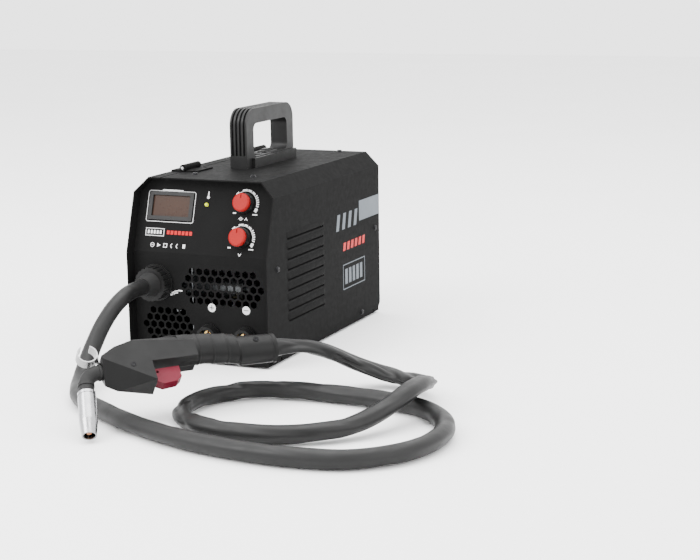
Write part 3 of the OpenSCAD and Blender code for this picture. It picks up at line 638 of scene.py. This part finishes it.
# Sections of the grip: x, top, bottom, half width and squareness
GRIP_STATIONS = [
    (0, -17.0, 17.0, 15.4, 2.0), (44, -18.6, 16.6, 15.5, 2.0),
    (COLLAR_END, -22.4, 13.4, 15.0, 2.1), (60, -24.6, 10.4, 14.6, 2.2),
    (85, -27.2, 7.6, 14.4, 2.4), (GRIP_END, -27.9, 8.2, 15.0, 2.8),
]


def grip_section(x):
    """Top, bottom, half width and squareness of the grip at x, in millimetres."""
    for a, b in zip(GRIP_STATIONS, GRIP_STATIONS[1:]):
        if x <= b[0]:
            t = span(x, a[0], b[0])
            return [p + (q - p) * t for p, q in zip(a[1:], b[1:])]
    return list(GRIP_STATIONS[-1][1:])


def grip_relief(x, c, s):
    """How far the grip stands out at x, where c and s are the cosine and sine from its back."""
    band = sum(1 - span(abs(x - at), 0.5, 1.3) for at in GRIP_BANDS)
    rim = 1 - span(x, 2.6, 3.6)
    groove = 1 - span(abs(x - 4.6), 0.2, 1.0) + 1.2 * (1 - span(abs(x - 45.6), 0.4, 1.3))
    out = 0.55 * band + 0.5 * rim - 0.6 * groove
    # fine ribs along the back
    if c > 0.1 and x > COLLAR_END:
        out += 0.45 * math.cos(s * 17) * span(x, 50, 62) * span(c, 0.1, 0.4)
    # moulding line along the back and the underside
    if abs(s) < 0.03:
        out -= 0.5
    return out


def add_grip():
    rings = []
    for i in range(GRIP_RINGS + 1):
        x = GRIP_END * i / GRIP_RINGS
        top, bottom, half, square = grip_section(x)
        middle = (top + bottom) / 2
        ring = []
        for k in range(GRIP_SIDES):
            t = 2 * math.pi * k / GRIP_SIDES
            c, s = math.cos(t), math.sin(t)
            y = middle - (bottom - top) / 2 * math.copysign(abs(c) ** (2 / square), c)
            z = half * math.copysign(abs(s) ** (2 / square), s)
            out = grip_relief(x, c, s)
            reach = math.hypot(y - middle, z)
            ring.append(in_torch(x, y + (y - middle) / reach * out, z + z / reach * out))
        rings.append(ring)
    verts, faces = loft(rings)
    return solid("torch_grip", verts, faces, "torch", sharp=50)


def prism(bm, outline, low_z, high_z):
    low = [bm.verts.new((x, y, low_z)) for x, y in outline]
    high = [bm.verts.new((x, y, high_z)) for x, y in outline]
    bm.faces.new(low[::-1])
    bm.faces.new(high)
    for k in range(len(outline)):
        j = (k + 1) % len(outline)
        bm.faces.new((low[k], low[j], high[j], high[k]))


def torch_piece(name, bm, look="torch", rounding=0.0, segments=2):
    """A piece from a mesh drawn in the torch's own frame, in millimetres."""
    bmesh.ops.recalc_face_normals(bm, faces=bm.faces)
    for v in bm.verts:
        v.co = in_torch(*v.co)
    for face in bm.faces:
        face.smooth = True
    mesh = bpy.data.meshes.new(name)
    bm.to_mesh(mesh)
    bm.free()
    mesh.materials.append(M[look])
    obj = link(bpy.data.objects.new(name, mesh))
    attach(obj, ROOT)
    if rounding:
        bevel = obj.modifiers.new("edges", "BEVEL")
        bevel.width = rounding * MM
        bevel.segments = segments
        bevel.limit_method = "ANGLE"
        bevel.angle_limit = math.radians(14)
        bevel.harden_normals = True
    return obj


def add_head():
    """Facetted head: a prism with its back edges and its lower front corner cut away."""
    outline = [
        (96, -27.5), (120, -28), (160, -24), (188, -16), (205, -6), (205, 24), (194, 33),
        (150, 33), (150, 8), (115.5, 8), (112, 7.8), (96, 7.3),
    ]
    bm = bmesh.new()
    prism(bm, outline, -15.5, 15.5)
    for side in (-1, 1):
        cuts = [
            ((150, -25.5, side * 9), (-0.04, -0.86, side * 0.50)),
            ((150, -22.0, side * 14.2), (-0.06, -0.50, side * 0.86)),
            ((205, -3, side * 15.5), (0.30, 0.46, side * 0.835)),
            ((205, 10, side * 9.5), (0.86, 0.14, side * 0.49)),
        ]
        for point, normal in cuts:
            geometry = list(bm.verts) + list(bm.edges) + list(bm.faces)
            cut = bmesh.ops.bisect_plane(
                bm, geom=geometry, plane_co=point, plane_no=Vector(normal).normalized(),
                clear_outer=True,
            )
            edges = [e for e in cut["geom_cut"] if isinstance(e, bmesh.types.BMEdge)]
            bmesh.ops.contextual_create(bm, geom=edges)
    bmesh.ops.remove_doubles(bm, verts=bm.verts, dist=0.01)
    return torch_piece("torch_head", bm, rounding=1.1, segments=3)


# Screws of the torch: x, y and how far out they stand
TORCH_SCREWS = [(24, -4, 16.0), (172, 10, 15.6)]
SCREW_SIDES = 28
SCREW_RIM_OUTER = 3.4
SCREW_RIM_INNER = 2.7
SCREW_HEAD = 2.75
BACK_RIBS_Z = (-5.4, -1.8, 1.8, 5.4)


def add_back_ribs():
    """Ribs along the back of the head, as low bars that follow its outline."""
    back = [(98, -27.4), (120, -27.9), (160, -23.9), (186, -16.6)]
    lower = [(x, y + 1.2) for x, y in reversed(back)]
    upper = [(x, y - 0.75) for x, y in back]
    bm = bmesh.new()
    for z in BACK_RIBS_Z:
        prism(bm, upper + lower, z - 0.7, z + 0.7)
    torch_piece("torch_back_ribs", bm, rounding=0.3)


def screw_loop(bm, x, y, r, z):
    return [bm.verts.new((a, b, z)) for a, b in circle_points(x, y, r, SCREW_SIDES)]


def join_loops(bm, a, b):
    for k in range(SCREW_SIDES):
        j = (k + 1) % SCREW_SIDES
        bm.faces.new((a[k], a[j], b[j], b[k]))


def add_screw_rims():
    """Raised rims round the holes of the torch's screws, on both sides."""
    bm = bmesh.new()
    for x, y, top in TORCH_SCREWS:
        for side in (-1, 1):
            loops = []
            for z in (side * (top - 2.5), side * (top + 0.15)):
                loops.append(screw_loop(bm, x, y, SCREW_RIM_OUTER, z))
                loops.append(screw_loop(bm, x, y, SCREW_RIM_INNER, z))
            for one, two in ((0, 1), (2, 3), (0, 2), (1, 3)):
                join_loops(bm, loops[one], loops[two])
    torch_piece("torch_screw_rims", bm, rounding=0.2)


def add_torch_screws():
    """Screw heads inside the rims, each with a dished middle."""
    dish = [(1.1, -0.2), (1.3, 0.1), (SCREW_HEAD, 0.06), (SCREW_HEAD, -2.4)]
    bm = bmesh.new()
    for x, y, top in TORCH_SCREWS:
        for side in (-1, 1):
            loops = [screw_loop(bm, x, y, r, side * (top + lift)) for r, lift in dish]
            bm.faces.new(loops[0])
            bm.faces.new(loops[-1])
            for a, b in zip(loops, loops[1:]):
                join_loops(bm, a, b)
    torch_piece("torch_screws", bm, look="screw")


add_camera()
add_lead()
dress_nodes()
grip = add_grip()
head = add_head()
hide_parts("torch_shell_bottom")
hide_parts("torch_shell_top")
add_back_ribs()
add_screw_rims()
add_torch_screws()

# ---------------------------------------------------------------- printed marks

# Middles of the knobs on the leaning panel, and of the signs over the sockets
KNOBS = ((54, 68), (54, 24))
PLUS_X = 13
MINUS_X = 62
SIGN_Z = 70.5


def knob_scale(marks, x, y):
    """White ring round a knob: broken bands that widen into bars on the right."""
    for a0, a1 in ((-52, -36), (-18, 4), (8, 24), (30, 46)):
        marks.sector("white_print", x, y, 15.6, 18.4, a0, a1)
    marks.sector("white_print", x, y, 15.6, 16.3, -60, 100)
    for i in range(6):
        a = 52 + 9 * i
        marks.sector("white_print", x, y, 16.0, 19.2, a, a + 4.5)
    marks.sector("white_print", x, y, 15.6, 19.4, 108, 124)


def add_panel_print():
    marks = Print(on_slope)
    marks.frame("white_print", -86, 39, -17, 79.5, 0.7, 3)
    marks.bar("white_print", -66, 79.6, -36, 81.0)
    for x, y in KNOBS:
        knob_scale(marks, x, y)
    # warm-up lamp symbol: a bulb with its stem
    marks.disc("white_print", 1, 73.6, 1.9, 20)
    marks.bar("white_print", 0.2, 75, 1.8, 81)
    marks.frame("white_print", -84, 20.5, -57, 30.5, 0.7)
    for i in range(5):
        marks.bar("white_print", -81 + 4.4 * i, 23.3, -78.4 + 4.4 * i, 27.8)
    for i in range(7):
        marks.bar("red_print", -53 + 5.4 * i, 23.4, -49 + 5.4 * i, 28.4)
    marks.ring("white_print", -72, 9, 2.2, 2.9, 24)
    marks.bar("white_print", -73.6, 8.7, -70.4, 9.3)
    marks.patch("white_print", [(-65, 6.5), (-60, 9), (-65, 11.5)])
    marks.frame("white_print", -56, 6.2, -50.6, 11.6, 0.8)
    marks.sector("white_print", -42.5, 8.9, 2.2, 3.1, 200, 340)
    marks.sector("white_print", -34.5, 8.9, 2.2, 3.1, 200, 340)
    marks.bar("white_print", -28, 6.6, -24.4, 11.6)
    # current and voltage symbols under the knobs
    marks.ring("white_print", 50, 48.6, 1.5, 2.1, 20)
    marks.bar("white_print", 46.6, 48.3, 53.4, 48.9)
    marks.patch("white_print", [(55.2, 46.8), (57.6, 50.6), (60, 46.8), (58.9, 46.8), (57.6, 49),
                                (56.3, 46.8)])
    marks.patch("white_print", [(51.6, 4.6), (54, 0.8), (56.4, 4.6), (55.4, 4.6), (54, 2.4),
                                (52.6, 4.6)])
    for x, y in ((40.4, 55.6), (38.6, 11.4)):
        marks.bar("white_print", x - 2.2, y - 0.8, x + 2.2, y + 0.8)
    for x, y in ((69, 54.6), (69, 10.6)):
        marks.bar("white_print", x - 3.4, y - 0.7, x + 3.4, y + 0.7)
    marks.finish("slope_print")


def add_front_print():
    marks = Print(on_front)
    for x in (PLUS_X, MINUS_X):
        marks.disc("white_print", x, SIGN_Z, 5.4)
    marks.stroke("white_print", [(-46, 84), (-43, 86.4), (-39, 88.4), (-34, 89.6), (-29, 89.4)], 1.5)
    marks.stroke("white_print", [(-42, 84.2), (-39, 86), (-35.4, 86.6)], 1.3)
    marks.patch("white_print", [(-47, 82.6), (-44.6, 82.4), (-42.6, 85), (-45, 85.6)])
    marks.finish("front_print")
    signs = Print(lambda x, z, lift: on_front(x, z, lift + 0.15))
    signs.bar("panel", PLUS_X - 0.5, SIGN_Z - 3.4, PLUS_X + 0.5, SIGN_Z + 3.4)
    for x in (PLUS_X, MINUS_X):
        signs.bar("panel", x - 3.4, SIGN_Z - 0.5, x + 3.4, SIGN_Z + 0.5)
    signs.finish("sign_print")


def add_side_print():
    marks = Print(on_side)
    marks.patch("grey_print", [(108, 144.5), (179.4, 144.5), (179.4, 172.5), (108, 172.5)])
    for i in range(4):
        y = 30 + 19.5 * i
        marks.patch("grey_print", [(y, 141), (y + 9, 141), (y + 14, 163), (y + 5, 163)])
    for i in range(6):
        y = 52 + 13 * i
        marks.patch("red_print", [(y, 111), (y + 8, 111), (y + 10.4, 122), (y + 2.4, 122)])
    marks.frame("grey_print", 51, 57, 126, 92, 1.3)
    for i in range(5):
        y = 58 + 12.6 * i
        marks.bar("grey_print", y, 64, y + 8.2, 85)
    marks.finish("side_print")


add_panel_print()
add_front_print()
add_side_print()

# ---------------------------------------------------------------- casing details


LOUVRES = 9
LOUVRE_LOWEST = 51
LOUVRE_PITCH = 13.2
# Places along a lip and how far it stands out there, in millimetres
LOUVRE_SHAPE = ((-123, 0.05), (-120.5, 0.8), (-117, 1.5), (-15, 1.5), (-11.5, 0.8), (-9, 0.05))


def add_louvres():
    """Pressed lips over the air slots of the cover's right side."""
    verts, faces = [], []
    for i in range(LOUVRES):
        z = LOUVRE_LOWEST + LOUVRE_PITCH * i
        rings = []
        for y, out in LOUVRE_SHAPE:
            profile = [
                (-0.4, 9.5), (0.05, 9.0), (0.45 * out, 5.6), (out, 2.4), (0.9 * out, 1.6), (-0.4, 1.5),
            ]
            rings.append([Vector((SIDE_X + x * MM, y * MM, (z + h) * MM)) for x, h in profile])
        more, sides = loft(rings)
        faces += [tuple(len(verts) + k for k in face) for face in sides]
        verts += more
    solid("louvre_lips", verts, faces, "casing", sharp=50)


def turned(name, profile, x, y, look):
    """A closed upright turned piece: profile is (radius, height) pairs."""
    rings = [[Vector((a, b, h)) * MM for a, b in circle_points(x, y, r, 40)] for r, h in profile]
    verts, faces = loft(rings)
    return solid(name, verts, faces, look)


def bar_piece(name, low, high, look, rounding):
    """A rounded bar between two corners, its top drawn in a little."""
    (x0, y0, z0), (x1, y1, z1) = low, high
    rings = []
    for z, inset in ((z0, 0), (z1 - 0.6 * rounding, 0), (z1 - 0.2 * rounding, 0.25 * rounding),
                     (z1, 0.8 * rounding)):
        loop = rounded_box(x0 + inset, y0 + inset, x1 - inset, y1 - inset, rounding, 6)
        rings.append([Vector((x, y, z)) * MM for x, y in loop])
    verts, faces = loft(rings)
    return solid(name, verts, faces, look)


def add_handle_details():
    """Round boss, latch bar and its raised step on top of the handle's grip."""
    boss = [(8.6, 243), (8.6, 246.4), (8.0, 247.2), (6.4, 247.4), (6.0, 246.6), (2.2, 246.6), (1.8, 246.2)]
    turned("handle_boss", boss, -5, 4, "handle")
    bar_piece("handle_latch_bar", (-12, 20, 243), (2, 58, 248.6), "handle", 2.4)
    bar_piece("handle_latch_step", (-9.4, 27, 246), (-0.6, 44, 250.4), "handle", 1.6)


add_louvres()
add_handle_details()

# ---------------------------------------------------------------- floor and light


FLOOR_REACH = 6.0
WORLD_STRENGTH = 3.0


def add_floor():
    mesh = bpy.data.meshes.new("floor")
    r = FLOOR_REACH
    mesh.from_pydata([(-r, -r, 0), (r, -r, 0), (r, r, 0), (-r, r, 0)], [], [(0, 1, 2, 3)])
    p = Paint("studio_floor", (0.90, 0.90, 0.90), 0.85).mottle(3, 0.01)
    mesh.materials.append(p.m)
    link(bpy.data.objects.new("floor", mesh))


def area_light(name, at, aim, size, power):
    data = bpy.data.lights.new(name, "AREA")
    data.shape = "RECTANGLE"
    data.size, data.size_y = size
    data.energy = power
    light = link(bpy.data.objects.new(name, data))
    light.location = at
    light.rotation_euler = (Vector(aim) - Vector(at)).to_track_quat("-Z", "Y").to_euler()


def add_world():
    world = bpy.data.worlds.new("studio")
    world.use_nodes = True
    background = world.node_tree.nodes["Background"]
    background.inputs["Color"].default_value = (1, 1, 1, 1)
    background.inputs["Strength"].default_value = WORLD_STRENGTH
    bpy.context.scene.world = world


add_floor()
area_light("key", at=(-1.3, -1.8, 1.9), aim=(0, -0.1, 0.1), size=(1.4, 1.4), power=80)
area_light("fill", at=(2.4, -0.9, 1.2), aim=(0, 0, 0.12), size=(1.6, 1.6), power=22)
area_light("top", at=(0.1, 0.0, 2.6), aim=(0, 0, 0.1), size=(2.6, 2.6), power=120)
add_world()
